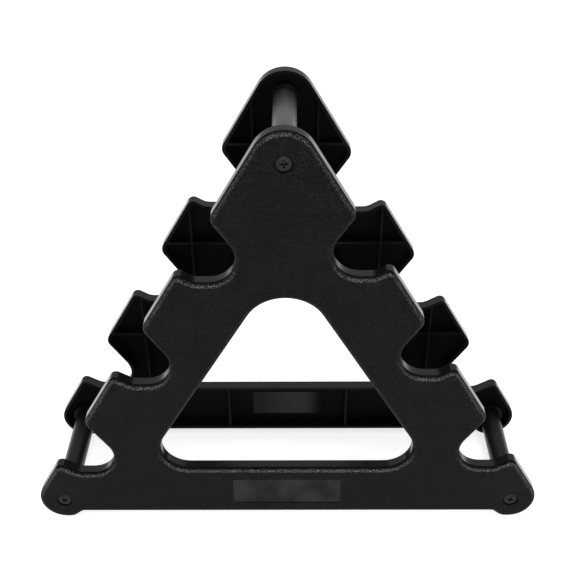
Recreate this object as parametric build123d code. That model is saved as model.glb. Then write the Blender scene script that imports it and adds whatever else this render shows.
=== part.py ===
from build123d import *
import os
from math import asin, atan2, cos, hypot, radians, sin, tan

# A-frame rack for small hand weights: two identical moulded side frames, one
# turned half round, held apart by three tubes with a screw at each end.
# X is the width, Y the depth and Z up. The origin is on the floor, midway.

# Whole rack
width = 400.0
height = 345.0
depth = 109.0

# Outline of a side frame: a triangle with rounded corners and three cradles a side
apex_radius = 22.0
foot_radius = 20.0
bar_bottom = 6.2
foot_flat = 5.5
foot_step_run = 7.5
foot_edge_radius = 10.0
foot_corner_radius = 5.0
tier_count = 3
tier_step_x = 51.0
tier_step_z = 91.4

# One cradle, placed by its overhang's lower end on the first tier
cradle_overhang_angle = 33.4
cradle_overhang_x = 41.1
cradle_overhang_z = 268.0
cradle_radius = 19.0
corner_radius = 8.5
lip_radius = 11.5
tip_radius = 5.0
cradle_floor_z = 231.6
cradle_lip_x = 62.2
plain_side_shifts = ((0.0, 0.0),) * tier_count
raised_side_shifts = ((-1.0, 4.6), (-1.5, 8.0), (-1.2, 5.8))

# Window inside the triangle
window_bottom = 54.3
window_side_x = 21.1
window_side_z = 212.6
window_top_radius = 30.6
window_corner_radius = 21.7

# Section of the moulding
tray_depth = 10.8
wall = 2.5
face = 2.5
face_edge_radius = 3.8
rib = 1.8
rib_drop = 1.0

# Ribs behind the face: distance from the middle, lowest and highest point
upright_ribs = (
    (24.0, window_bottom, height),
    (74.0, window_bottom, height),
    (119.0, 0.0, height),
    (51.5, 0.0, window_bottom),
)
level_rib_zs = (288.0, 202.5, 113.0)

# Blank panel on the bottom bar and the pad behind it
panel_width = 86.0
panel_height = 26.0
panel_z = 30.3
panel_sink = 0.4
panel_corner_radius = 2.0
pad_width = 62.0
pad_rise = 0.6

# Ejector marks on the inside
mark_radius = 4.6
mark_depth = 0.3
mark_spots = ((55.0, 188.0), (54.0, 221.0), (107.0, 98.0), (166.0, 43.0))
bar_mark_z = 32.0

# Tubes with their sockets
tube_radius = 8.5
tube_wall = 1.5
socket_gap = 0.2
socket_wall = 2.6
socket_height = 9.0
boss_floor = 4.0
slip = 0.02

# Plugs, inserts and screws
plug_length = 16.0
insert_radius = 4.0
insert_length = 10.0
screw_radius = 2.5
screw_length = 18.0
screw_hole_radius = 2.75
thread_gap = 0.04
head_radius = 5.5
head_height = 1.6
head_edge_radius = 0.9
recess_radius = 6.2
recess_depth = 1.8
cross_length = 5.8
cross_width = 1.2
cross_depth = 1.1

# Worked out from the sizes above
top_axis_z = height - apex_radius
foot_axis_x = width / 2 - foot_radius
axis_rise = top_axis_z - foot_radius
lean = atan2(foot_axis_x, axis_rise) - asin((apex_radius - foot_radius) / hypot(foot_axis_x, axis_rise))
side_apex_z = top_axis_z + apex_radius / sin(lean)
tube_length = depth - 2 * boss_floor
on_floor = (Align.CENTER, Align.CENTER, Align.MIN)
tube_spots = {
    "top_handle": (0.0, top_axis_z),
    "left_foot": (-foot_axis_x, foot_radius),
    "right_foot": (foot_axis_x, foot_radius),
}


def side_x(z):
    """Half width of the plain triangle at a height."""
    return (side_apex_z - z) * tan(lean)


def cross_line(x, z, across, up):
    """Point where the line through x, z meets the triangle's side."""
    reach = (side_x(z) - x) / (across + up * tan(lean))
    return (x + reach * across, z + reach * up)


def cradle_points(tier, shift):
    """Corners and radii of one cradle on the +X side, moved by shift."""
    shift_x, shift_z = shift
    x0 = shift_x + tier * tier_step_x
    z0 = shift_z - tier * tier_step_z
    overhang = radians(cradle_overhang_angle)
    corner = cross_line(cradle_overhang_x + x0, cradle_overhang_z + z0, sin(overhang), cos(overhang))
    root_x = cradle_overhang_x - (cradle_overhang_z - cradle_floor_z) * tan(overhang)
    tip = cross_line(cradle_lip_x + x0, cradle_floor_z + z0, cos(lean), sin(lean))
    return [
        (corner, corner_radius),
        ((root_x + x0, cradle_floor_z + z0), cradle_radius),
        ((cradle_lip_x + x0, cradle_floor_z + z0), lip_radius),
        (tip, tip_radius),
    ]


def foot_points():
    """Corners and radii of one foot on the +X side, from the outside in."""
    step_x = foot_axis_x - foot_flat
    return [
        ((side_x(0), 0), foot_radius),
        ((step_x, 0), foot_edge_radius),
        ((step_x - foot_step_run, bar_bottom), foot_corner_radius),
    ]


def side_points(shifts):
    """Every corner below the apex on the +X side, with each cradle's shift."""
    points = []
    for tier, shift in enumerate(shifts):
        points += cradle_points(tier, shift)
    return points + foot_points()


def rounded_face(corners):
    """Face inside a closed line whose corners are rounded one by one."""
    points = [point for point, radius in corners]
    radii = [radius for point, radius in corners]
    return make_face(FilletPolyline(*points, radius=radii, close=True))


def outline():
    """Outer outline of a side frame; the cradles at -X sit higher."""
    apex = ((0, side_apex_z), apex_radius)
    right = side_points(plain_side_shifts)
    left = [((-x, z), radius) for (x, z), radius in reversed(side_points(raised_side_shifts))]
    return rounded_face([apex] + right + left)


def window():
    """Window of a side frame, with its sides parallel to the frame's."""
    apex_z = window_side_z + window_side_x / tan(lean)
    corner_x = (apex_z - window_bottom) * tan(lean)
    return rounded_face(
        [
            ((0, apex_z), window_top_radius),
            ((corner_x, window_bottom), window_corner_radius),
            ((-corner_x, window_bottom), window_corner_radius),
        ]
    )


def ribs(cavity):
    """Upright and level ribs, trimmed to the hollow that they stand in."""
    rib_top = tray_depth - rib_drop
    grid = Part()
    for x, low, high in upright_ribs:
        upright = Box(rib, high - low, rib_top, align=(Align.CENTER, Align.MIN, Align.MIN))
        for sign in (-1, 1):
            grid += Pos(sign * x, low, 0) * upright
    for z in level_rib_zs:
        grid += Pos(0, z, 0) * Box(width, rib, rib_top, align=on_floor)
    return grid & cavity


def side_frame():
    """One moulding, lying on its outer face with the hollow side up."""
    outer = outline()
    hole = window()
    tray = extrude(outer - hole, tray_depth)
    face_edges = tray.edges().filter_by_position(Axis.Z, -0.01, 0.01)
    tray = fillet(face_edges, face_edge_radius)
    hollow = offset(outer, -wall) - offset(hole, wall)
    cavity = Pos(0, 0, face) * extrude(hollow, tray_depth)
    tray = tray - cavity
    tray = tray + ribs(cavity)
    for x, z in tube_spots.values():
        tray = socket(tray, x, z)
    pad = Box(pad_width, panel_height, face / 2 + pad_rise, align=on_floor)
    tray = tray + Pos(0, panel_z, face / 2) * pad
    panel = extrude(RectangleRounded(panel_width, panel_height, panel_corner_radius), panel_sink)
    tray = tray - Pos(0, panel_z, 0) * panel
    return ejector_marks(tray)


def socket(tray, x, z):
    """Adds the round socket for a tube and opens the screw's hole and recess."""
    inner = tube_radius + socket_gap
    bottom = face / 2
    ring = Cylinder(inner + socket_wall, socket_height - bottom, align=on_floor)
    tray = tray + Pos(x, z, bottom) * ring
    tray = tray - Pos(x, z, boss_floor) * Cylinder(inner, tray_depth, align=on_floor)
    tray = tray - Pos(x, z, 0) * Cylinder(screw_hole_radius, tray_depth, align=on_floor)
    return tray - Pos(x, z, 0) * Cylinder(recess_radius, recess_depth, align=on_floor)


def ejector_marks(tray):
    """Shallow round marks that the ejector pins leave inside."""
    pin = Cylinder(mark_radius, tray_depth, align=on_floor)
    for x, z in mark_spots:
        for sign in (-1, 1):
            tray = tray - Pos(sign * x, z, face - mark_depth) * pin
    return tray - Pos(0, bar_mark_z, face + pad_rise - mark_depth) * pin


def along_y(part):
    """Lays a part that stands on +Z along -Y, from the plane Y = 0."""
    return Rot(90, 0, 0) * part


def at_end(part, x, z, front):
    """Puts a part measured from the outer face at the front or the rear end."""
    part = Pos(0, depth / 2, 0) * along_y(part)
    if front:
        part = Rot(0, 0, 180) * part
    return Pos(x, 0, z) * part


def tube():
    """Plain round tube, open at both ends, centred on the origin."""
    return Cylinder(tube_radius, tube_length) - Cylinder(tube_radius - tube_wall, tube_length)


def plug():
    """Plug in a tube's end, bored for the insert."""
    body = Pos(0, 0, boss_floor) * Cylinder(tube_radius - tube_wall - slip, plug_length, align=on_floor)
    body = body - Pos(0, 0, boss_floor) * Cylinder(insert_radius + slip, insert_length, align=on_floor)
    return body - Pos(0, 0, boss_floor) * Cylinder(screw_hole_radius, plug_length, align=on_floor)


def insert():
    """Threaded insert, drawn with a smooth bore."""
    body = Cylinder(insert_radius, insert_length, align=on_floor)
    body = body - Cylinder(screw_radius + thread_gap, insert_length, align=on_floor)
    return Pos(0, 0, boss_floor) * body


def screw():
    """Cross-recessed pan-head screw, with its head in the frame's recess."""
    head = Cylinder(head_radius, head_height, align=on_floor)
    top = head.edges().filter_by_position(Axis.Z, -0.01, 0.01)
    head = fillet(top, head_edge_radius)
    slot = Box(cross_length, cross_width, cross_depth, align=on_floor)
    head = head - slot - Rot(0, 0, 90) * slot
    shank = Pos(0, 0, head_height) * Cylinder(screw_radius, screw_length, align=on_floor)
    return Pos(0, 0, recess_depth - head_height) * (head + shank)


os.makedirs("parts", exist_ok=True)
frame_shape = side_frame()
nodes = {
    "front_side_frame": at_end(frame_shape, 0, 0, True),
    "rear_side_frame": at_end(frame_shape, 0, 0, False),
}
for place, (x, z) in tube_spots.items():
    nodes[place + "_tube"] = Pos(x, 0, z) * Rot(90, 0, 0) * tube()
    for end in ("front", "rear"):
        label = end + "_" + place
        nodes[label + "_plug"] = at_end(plug(), x, z, end == "front")
        nodes[label + "_insert"] = at_end(insert(), x, z, end == "front")
        nodes[label + "_screw"] = at_end(screw(), x, z, end == "front")

for name, shape in nodes.items():
    shape.label = name
    export_step(shape, "parts/" + name + ".step")
    print(name, len(shape.solids()), "solid", round(shape.volume), "mm3")
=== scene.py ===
import bpy
import math
from mathutils import Matrix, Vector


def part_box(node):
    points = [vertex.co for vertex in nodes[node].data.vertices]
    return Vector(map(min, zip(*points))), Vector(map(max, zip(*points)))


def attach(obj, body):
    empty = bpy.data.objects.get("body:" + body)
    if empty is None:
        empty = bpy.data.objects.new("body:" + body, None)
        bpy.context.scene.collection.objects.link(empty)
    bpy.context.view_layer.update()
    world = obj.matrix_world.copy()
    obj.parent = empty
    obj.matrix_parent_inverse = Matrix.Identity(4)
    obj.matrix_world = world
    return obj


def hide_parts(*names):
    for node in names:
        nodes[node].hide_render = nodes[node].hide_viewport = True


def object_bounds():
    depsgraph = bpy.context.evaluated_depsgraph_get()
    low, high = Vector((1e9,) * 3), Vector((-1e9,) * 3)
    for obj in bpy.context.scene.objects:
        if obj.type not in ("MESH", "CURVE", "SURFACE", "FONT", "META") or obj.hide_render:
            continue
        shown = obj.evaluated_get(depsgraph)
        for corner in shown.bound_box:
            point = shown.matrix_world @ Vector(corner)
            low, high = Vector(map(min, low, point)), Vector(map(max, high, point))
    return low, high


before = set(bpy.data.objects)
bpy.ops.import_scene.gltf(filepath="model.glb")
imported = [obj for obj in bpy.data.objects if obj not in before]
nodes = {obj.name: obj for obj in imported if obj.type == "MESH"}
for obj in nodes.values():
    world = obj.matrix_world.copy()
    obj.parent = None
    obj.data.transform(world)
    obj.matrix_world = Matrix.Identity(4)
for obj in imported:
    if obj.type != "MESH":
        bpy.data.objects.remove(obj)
cadBox = [list(corner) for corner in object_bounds()]
half = cadBox[1][1]  # the outer faces lie at Y = -half and +half
print("frame loaded,", len(nodes), "CAD nodes")


# shader maths: a Wire is one output socket, and an expression on Wires adds the nodes for it
class Wire:
    def __init__(self, tree, socket=None):
        self.tree = tree
        self.socket = socket

    def node(self, kind, settings, inputs, out=0):
        made = self.tree.nodes.new(kind)
        for name, value in settings.items():
            setattr(made, name, value)
        for name, value in inputs.items():
            if isinstance(value, Wire):
                self.tree.links.new(value.socket, made.inputs[name])
            else:
                made.inputs[name].default_value = value
        return Wire(self.tree, made.outputs[out] if made.outputs else None)

    def maths(self, operation, *values):
        return self.node("ShaderNodeMath", {"operation": operation}, dict(enumerate(values)))

    def __add__(self, other):
        return self.maths("ADD", self, other)

    __radd__ = __add__

    def __sub__(self, other):
        return self.maths("SUBTRACT", self, other)

    def __rsub__(self, other):
        return self.maths("SUBTRACT", other, self)

    def __mul__(self, other):
        return self.maths("MULTIPLY", self, other)

    __rmul__ = __mul__

    def __abs__(self):
        return self.maths("ABSOLUTE", self)

    def sign(self):
        return self.maths("SIGN", self)

    # goes from 0 to 1 while the value goes from low to high
    def rise(self, low, high):
        settings = {"interpolation_type": "SMOOTHSTEP"}
        return self.node("ShaderNodeMapRange", settings, {"Value": self, "From Min": low, "From Max": high})

    # goes from 1 to 0 while the value goes from low to high
    def fall(self, low, high):
        return 1 - self.rise(low, high)

    def axes(self):
        return [self.node("ShaderNodeSeparateXYZ", {}, {"Vector": self}, out) for out in range(3)]

    def noise(self, scale, detail=3.0):
        return self.node("ShaderNodeTexNoise", {}, {"Vector": self, "Scale": scale, "Detail": detail})

    def cells(self, scale):
        return self.node("ShaderNodeTexVoronoi", {"feature": "SMOOTH_F1"}, {"Vector": self, "Scale": scale})

    # colors between two values, from the color times one factor to the color times another
    def shade(self, color, low, high):
        made = self.node("ShaderNodeValToRGB", {}, {"Fac": self})
        elements = made.socket.node.color_ramp.elements
        for element, (position, factor) in zip(elements, (low, high)):
            element.position = position
            element.color = (*(factor * part for part in color), 1.0)
        return made

    def bump(self, strength, distance):
        return self.node("ShaderNodeBump", {}, {"Height": self, "Strength": strength, "Distance": distance})

    def mix(self, first, second):
        return self.node("ShaderNodeMixShader", {}, {0: self, 1: first, 2: second})


def newMaterial(name):
    material = bpy.data.materials.new(name)
    material.use_nodes = True
    material.node_tree.nodes.clear()
    start = Wire(material.node_tree)
    place = start.node("ShaderNodeTexCoord", {}, {}, "Object")
    return material, start, place


# a principled shader whose roughness follows a texture
def coat(start, part, color, texture, bump=None):
    inputs = {
        "Base Color": color,
        "Roughness": texture * part["roughChange"] + part["rough"],
        "Specular IOR Level": part["shine"],
        "Metallic": part.get("metallic", 0.0),
    }
    if bump is not None:
        inputs["Normal"] = bump
    return start.node("ShaderNodeBsdfPrincipled", {}, inputs)


def show(start, surface):
    start.node("ShaderNodeOutputMaterial", {}, {"Surface": surface})


print("stage: materials")
bpy.ops.object.select_all(action="DESELECT")

framePlastic = {
    "color": (0.0019, 0.0019, 0.002),
    "darkest": (0.38, 1),  # place on the ramp, and factor on the color
    "palest": (0.64, 2.6),
    "blotchScale": 620,
    "patchScale": 38,
    "patchShare": 0.35,  # of the patches in the color; the blotches have the rest
    "pebbleScale": 1000,  # pebbles about a millimetre across
    "pebbleHeight": 0.8,
    "fineScale": 2400,
    "fineHeight": 0.35,
    "skinBump": (1.0, 0.0008),  # strength and height
    "waveScale": 160,  # faint waviness of the smooth walls
    "wallBump": (0.06, 0.0004),
    "rounding": 0.0038,  # the outer face's rounded edge
    "border": 0.0003,  # half of the soft step between the skin and the walls
    # how far a face points outwards, inwards or up where each mask starts and where it is full
    "turnedOut": (0.02, 0.12),
    "turnedIn": (0.4, 0.8),
    "turnedUp": (0.05, 0.5),
    "edgeStart": (0.45, 0.8),
    "edgeEnd": (0.96, 0.998),
    # worn bright specks, with the noise values between which they appear
    "speckScale": 1500,
    "edgeSpecks": (0.46, 0.54),
    "faceSpecks": (0.58, 0.66),
    "faceWear": 0.2,
    "sideWear": 0.14,  # wear of a rounded edge that doesn't face up; one that does has 1
    # the inside, and areas of the bottom bar by their half widths and half heights
    "rimDepth": (0.009, 0.008),  # the rim and the ribs' tops are this far behind the outer face, or more
    "rimShine": 0.1,
    "panel": {"wide": 0.0431, "tall": 0.0131, "middle": 0.0303, "border": 0.0006},
    "panelShine": (0.12, 0.22),  # least shine, and what the patches add
    "panelPatches": (0.35, 0.65),
    "pad": {"wide": 0.031, "tall": 0.013, "middle": 0.0303, "border": 0.001},
    # a glossier pad, whose shine rising to the right and fading again is a painted reflection
    "padGlossAndPaintedReflection": (0.16, 0.22),  # least shine, and what is added towards the middle
    "padReflectionRise": (-0.03, 0.01),
    "padReflectionFall": (0.012, 0.031),
    "dull": {"rough": 0.6, "roughChange": -0.25, "shine": 0.04},
    "gloss": {"rough": 0.1, "roughChange": 0.16, "shine": 1.0},
    # the inside's finish, whose plain dark colour is painted shade
    "shadedInsideMatte": {"rough": 0.6, "roughChange": 0.1, "shine": 0.036},
    "smooth": {"rough": 0.2, "roughChange": 0.1, "shine": 0.6},
}


# 1 inside an area of the bottom bar and 0 outside it, with a soft border
def barArea(x, z, area):
    across = abs(x).fall(area["wide"] - area["border"], area["wide"])
    up = abs(z - area["middle"]).fall(area["tall"] - area["border"], area["tall"])
    return across * up


# the patterns of the plastic: heights for its bumps, and its color
def plasticPatterns(look, place):
    patterns = {
        "fine": place.noise(look["fineScale"], 2.0),
        "patches": place.noise(look["patchScale"]),
        "specks": place.noise(look["speckScale"]),
        "waves": place.noise(look["waveScale"]),
    }
    pebbles = 1 - place.cells(look["pebbleScale"])
    patterns["relief"] = pebbles * look["pebbleHeight"] + patterns["fine"] * look["fineHeight"]
    blotches = place.noise(look["blotchScale"])
    share = look["patchShare"]
    mottle = patterns["patches"] * share + blotches * (1 - share)
    patterns["color"] = mottle.shade(look["color"], look["darkest"], look["palest"])
    return patterns


# the grained outer face, with worn spots on its rounded edge
def grainedSkin(look, start, patterns, outerSkin, upEdge, skinBump):
    dull = coat(start, look["dull"], patterns["color"], patterns["relief"], skinBump)
    gloss = coat(start, look["gloss"], patterns["color"], patterns["fine"], skinBump)
    specks = patterns["specks"]
    sparkle = upEdge * specks.rise(*look["edgeSpecks"])
    sparkle = sparkle + outerSkin * specks.rise(*look["faceSpecks"]) * look["faceWear"]
    return dull, sparkle.mix(dull, gloss)


# how glossy the rest is: the walls are, the inside of the face isn't, its pad and the panel are a little;
# the inside's plain dark colour is painted shade
def smoothShine(look, x, y, z, patches, inside, outerSkin):
    least, more = look["padGlossAndPaintedReflection"]
    # painted reflection: the pad's shine, and with it the paler colour, rises across it and fades at its
    # right end
    padGlossAndPaintedReflection = barArea(x, z, look["pad"]) * (least + x.rise(*look["padReflectionRise"]) * more)
    padGlossAndPaintedReflection = padGlossAndPaintedReflection * x.fall(*look["padReflectionFall"])
    least, more = look["panelShine"]
    panelShine = patches.rise(*look["panelPatches"]) * more + least
    low, high = look["rimDepth"]
    # the rim and the ribs' tops take a little of the smooth shader's paler colour, so the painted shade is
    # deepest near the face
    insideShine = padGlossAndPaintedReflection + abs(y).fall(half - low, half - high) * look["rimShine"]
    return inside * insideShine + outerSkin * panelShine + (1 - inside) * (1 - outerSkin)


def makeFramePlastic(look):
    material, start, place = newMaterial("grainedBlackPlastic")
    x, y, z = place.axes()
    facing = start.node("ShaderNodeTexCoord", {}, {}, "Normal").axes()
    outward = facing[1] * y.sign()
    edge = half - look["rounding"]

    # where the skin is: the outer face with its rounded edge, its grained part, the inside
    outerSkin = abs(y).rise(edge - look["border"], edge + look["border"]) * outward.rise(*look["turnedOut"])
    grained = outerSkin * (1 - barArea(x, z, look["panel"]))
    inside = (outward * -1).rise(*look["turnedIn"])
    onEdge = outerSkin * outward.rise(*look["edgeStart"]) * outward.fall(*look["edgeEnd"])
    upEdge = onEdge * (look["sideWear"] + facing[2].rise(*look["turnedUp"]) * (1 - look["sideWear"]))

    patterns = plasticPatterns(look, place)
    waves = patterns["waves"]
    skinBump = (patterns["relief"] * grained).bump(*look["skinBump"])
    wallBump = (waves * (1 - grained)).bump(*look["wallBump"])
    dull, outerMix = grainedSkin(look, start, patterns, outerSkin, upEdge, skinBump)
    # painted shade: the inside takes the plain dark colour, without the mottle's lift
    shadedInsideMatte = coat(start, look["shadedInsideMatte"], (*look["color"], 1.0), waves)
    smooth = coat(start, look["smooth"], patterns["color"], waves, wallBump)
    shine = smoothShine(look, x, y, z, patterns["patches"], inside, outerSkin)
    innerMix = shine.mix(inside.mix(dull, shadedInsideMatte), smooth)
    show(start, grained.mix(innerMix, outerMix))
    return material


# marks run along the tube, and the colour is darker near the sockets as painted shade
# one tube paint in a lit and a shaded copy: the handle's paler colour is painted light from above, the
# feet's darker colour is painted shade
litAndShadedTubePaints = {
    "handle": {"color": (0.06, 0.06, 0.06), "rough": 0.22, "roughChange": 0.12, "shine": 0.6, "bump": 0.2},
    "foot": {"color": (0.005, 0.005, 0.005), "rough": 0.3, "roughChange": 0.12, "shine": 0.35, "bump": 0.15},
}
tubeMarks = {
    "peelScale": 900,
    "markScale": 420,
    "markStretch": 0.06,
    "markShare": 0.3,  # of the marks in the color; the distance from the middle has the rest
    "markHeight": 0.5,
    # painted shade: the colour falls from the middle of the tube towards both sockets over this span
    "shadedEndsHalf": (0.004, 0.046),
    "darkest": (0.1, 0.25),
    "palest": (0.9, 1.9),
    "bumpHeight": 0.0001,
}


def makeTubePaint(name):
    look = litAndShadedTubePaints[name]
    material, start, place = newMaterial(name + "TubePaintLitShadedCopy")
    x, y, z = place.axes()
    stretched = start.node("ShaderNodeCombineXYZ", {}, {0: x, 1: y * tubeMarks["markStretch"], 2: z})
    marks = stretched.noise(tubeMarks["markScale"])
    share = tubeMarks["markShare"]
    # the marks' own tone, mixed with painted shade near both sockets
    marksAndEndShade = marks * share + abs(y).fall(*tubeMarks["shadedEndsHalf"]) * (1 - share)
    color = marksAndEndShade.shade(look["color"], tubeMarks["darkest"], tubeMarks["palest"])
    height = place.noise(tubeMarks["peelScale"], 2.0) + marks * tubeMarks["markHeight"]
    show(start, coat(start, look, color, marks, height.bump(look["bump"], tubeMarks["bumpHeight"])))
    return material


smallParts = {
    "plugPlastic": {"color": (0.03, 0.03, 0.03), "rough": 0.45, "shine": 0.5},
    "turnedBrass": {"color": (0.6, 0.42, 0.18), "rough": 0.25, "shine": 0.5, "metallic": 1.0},
    "blackOxide": {"color": (0.0035, 0.0035, 0.0035), "rough": 0.4, "shine": 0.2},
}
smallWear = {
    "scale": 700,
    "darkest": (0.3, 1),
    "palest": (0.75, 1.4),
    "roughChange": 0.2,
    "bump": (0.15, 0.0001),
}


def makeSmallPart(name):
    look = {**smallWear, **smallParts[name]}
    material, start, place = newMaterial(name)
    wear = place.noise(look["scale"])
    color = wear.shade(look["color"], look["darkest"], look["palest"])
    show(start, coat(start, look, color, wear, wear.bump(*look["bump"])))
    return material


def dress(thing, material):
    thing.data.materials.clear()
    thing.data.materials.append(material)


# the material of the CAD nodes whose names end like this
looks = {
    "side_frame": makeFramePlastic(framePlastic),
    "top_handle_tube": makeTubePaint("handle"),
    "foot_tube": makeTubePaint("foot"),
    "plug": makeSmallPart("plugPlastic"),
    "insert": makeSmallPart("turnedBrass"),
    "screw": makeSmallPart("blackOxide"),
}
for name, thing in nodes.items():
    for ending, look in looks.items():
        if name.endswith(ending):
            dress(thing, look)

# the six screws: a domed pan head with a tapered cross recess, on a plain shank
print("stage: screws")
screwShape = {
    "sides": 64,
    "headRadius": 0.0055,
    "headHeight": 0.0016,
    "rimHeight": 0.0009,  # straight part of the head, under its dome
    "dome": [(0.0006, 0.00038), (0.0012, 0.00022), (0.0014, 0.0001)],  # inset and rise of each ring
    "shankRadius": 0.0025,
    "tipLength": 0.001,
    "tipTaper": 0.7,
    "crossLength": 0.0076,
    "crossWidth": 0.0018,
    "crossDepth": 0.0022,
    "crossTaper": 0.5,
    "bevelWidth": 0.00012,
    "bevelAngle": math.radians(40),
    "smoothAngle": math.radians(38),
}
screwTurns = {"top_handle": 4, "left_foot": 24, "right_foot": -14}  # degrees, the same at both ends


def facesUp(face):
    return face.normal.z > 0.9


def facesDown(face):
    return face.normal.z < -0.9


def pickFaces(test):
    bpy.ops.mesh.select_all(action="DESELECT")
    bpy.ops.object.mode_set(mode="OBJECT")
    for face in bpy.context.object.data.polygons:
        face.select = test(face)
    bpy.ops.object.mode_set(mode="EDIT")


def selectOnly(thing):
    bpy.ops.object.select_all(action="DESELECT")
    bpy.context.view_layer.objects.active = thing
    thing.select_set(True)


def applyTransform():
    bpy.ops.object.transform_apply(location=True, rotation=True, scale=True)


def cutWith(body, cutter):
    cut = body.modifiers.new("cut", "BOOLEAN")
    cut.operation = "DIFFERENCE"
    cut.solver = "EXACT"
    cut.object = cutter
    selectOnly(body)
    bpy.ops.object.modifier_apply(modifier=cut.name)
    bpy.data.objects.remove(cutter)


# a blade of the cross, with its middle at z = 0, narrower at the bottom
def makeBlade(shape, turn):
    bpy.ops.object.select_all(action="DESELECT")
    bpy.ops.mesh.primitive_cube_add(size=1, location=(0, 0, 0))
    blade = bpy.context.object
    bpy.ops.object.mode_set(mode="EDIT")
    bpy.ops.transform.resize(value=(shape["crossLength"], shape["crossWidth"], 2 * shape["crossDepth"]))
    pickFaces(facesDown)
    bpy.ops.transform.resize(value=(shape["crossTaper"], shape["crossTaper"], 1))
    bpy.ops.object.mode_set(mode="OBJECT")
    blade.rotation_euler.z = turn
    applyTransform()
    return blade


# stands on +Z with the top of its dome at z = 0
def makeScrew(shape, length):
    bpy.ops.object.select_all(action="DESELECT")
    rim = shape["rimHeight"]
    tip = shape["tipLength"]
    domeRise = sum(rise for inset, rise in shape["dome"])
    bpy.ops.mesh.primitive_cylinder_add(
        vertices=shape["sides"], radius=shape["headRadius"], depth=rim, location=(0, 0, -domeRise - rim / 2)
    )
    screw = bpy.context.object
    applyTransform()
    bpy.ops.object.mode_set(mode="EDIT")
    pickFaces(facesUp)
    for inset, rise in shape["dome"]:
        bpy.ops.mesh.inset(thickness=inset, depth=0)
        bpy.ops.transform.translate(value=(0, 0, rise))
    pickFaces(facesDown)
    bpy.ops.transform.translate(value=(0, 0, domeRise + rim - shape["headHeight"]))
    bpy.ops.mesh.inset(thickness=shape["headRadius"] - shape["shankRadius"], depth=0)
    shank = length - shape["headHeight"] - tip
    bpy.ops.mesh.extrude_region_move(TRANSFORM_OT_translate={"value": (0, 0, -shank)})
    bpy.ops.mesh.extrude_region_move(TRANSFORM_OT_translate={"value": (0, 0, -tip)})
    bpy.ops.transform.resize(value=(shape["tipTaper"], shape["tipTaper"], 1))
    bpy.ops.object.mode_set(mode="OBJECT")
    for turn in (0, math.pi / 2):
        cutWith(screw, makeBlade(shape, turn))
    bevel = screw.modifiers.new("softEdges", "BEVEL")
    bevel.width = shape["bevelWidth"]
    bevel.segments = 2
    bevel.angle_limit = shape["bevelAngle"]
    bpy.ops.object.modifier_apply(modifier=bevel.name)
    bpy.ops.object.shade_smooth_by_angle(angle=shape["smoothAngle"])
    return screw


def placeScrew(pattern, end, place):
    node = end + "_" + place + "_screw"
    low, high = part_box(node)
    screw = bpy.data.objects.new(node + "Detailed", pattern.data.copy())
    bpy.context.scene.collection.objects.link(screw)
    selectOnly(screw)
    headY = low.y if end == "front" else high.y
    tilt = math.pi / 2 if end == "front" else -math.pi / 2
    screw.matrix_world = (
        Matrix.Translation(((low.x + high.x) / 2, headY, (low.z + high.z) / 2))
        @ Matrix.Rotation(tilt, 4, "X")
        @ Matrix.Rotation(math.radians(screwTurns[place]), 4, "Z")
    )
    applyTransform()
    dress(screw, looks["screw"])
    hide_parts(node)
    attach(screw, "root")


screwLow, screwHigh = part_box("front_top_handle_screw")
pattern = makeScrew(screwShape, screwHigh.y - screwLow.y)
for end in ("front", "rear"):
    for place in screwTurns:
        placeScrew(pattern, end, place)
bpy.data.objects.remove(pattern)

print("stage: floor, lights and camera")
room = {
    "floorSize": 40,
    "floorColor": (0.86, 0.86, 0.86),
    "floorRough": 0.9,
    "floorShine": 0.1,
    "floorGlow": 0.66,
    "skyStrength": 0.4,
}
white = (1, 1, 1, 1)
bpy.ops.mesh.primitive_plane_add(size=room["floorSize"], location=(0, 0, 0))
floor = bpy.context.object
floor.name = "floor"
floorMaterial, floorStart = newMaterial("paleFloor")[:2]
floorSkin = floorStart.node(
    "ShaderNodeBsdfPrincipled",
    {},
    {
        "Base Color": (*room["floorColor"], 1.0),
        "Roughness": room["floorRough"],
        "Specular IOR Level": room["floorShine"],
        "Emission Color": white,
        "Emission Strength": room["floorGlow"],
    },
)
show(floorStart, floorSkin)
floor.data.materials.append(floorMaterial)

world = bpy.data.worlds.new("studio")
bpy.context.scene.world = world
world.use_nodes = True
sky = world.node_tree.nodes["Background"].inputs
sky["Color"].default_value = white
sky["Strength"].default_value = room["skyStrength"]

softBoxes = {
    "overhead": {"place": (0.15, 0.2, 1.4), "width": 0.6, "power": 6},
    "leftSide": {"place": (-1.3, -0.5, 0.9), "width": 0.8, "power": 3},
    "frontStrip": {"place": (0.1, -1.5, 0.62), "width": 0.6, "power": 14},
}
lightTarget = (0, 0, 0.15)
for name, box in softBoxes.items():
    bpy.ops.object.light_add(type="AREA", location=box["place"])
    lamp = bpy.context.object
    lamp.name = name
    lamp.data.shape = "SQUARE"
    lamp.data.size = box["width"]
    lamp.data.energy = box["power"]
    alongX, alongY, alongZ = [end - start for start, end in zip(box["place"], lightTarget)]
    tilt = math.pi / 2 + math.atan2(alongZ, math.hypot(alongX, alongY))
    lamp.rotation_euler = (tilt, 0, math.atan2(-alongX, alongY))

cameraView = {
    "place": (0.00675, -0.52677, 0.5971),  # Y is measured from the front frame's outer face
    "down": 34.94,  # degrees
    "turn": 0.51,
    "roll": -0.465,
    "lens": 59,
    "sensor": 36,
    "nearest": 0.05,
}
cameraX, cameraY, cameraZ = cameraView["place"]
bpy.ops.object.camera_add()
camera = bpy.context.object
camera.matrix_world = (
    Matrix.Translation((cameraX, cameraY - half, cameraZ))
    @ Matrix.Rotation(math.radians(cameraView["turn"]), 4, "Z")
    @ Matrix.Rotation(math.radians(90 - cameraView["down"]), 4, "X")
    @ Matrix.Rotation(math.radians(cameraView["roll"]), 4, "Z")
)
camera.data.sensor_width = cameraView["sensor"]
camera.data.lens = cameraView["lens"]
camera.data.clip_start = cameraView["nearest"]
bpy.context.scene.camera = camera
bpy.context.scene.view_settings.view_transform = "Standard"
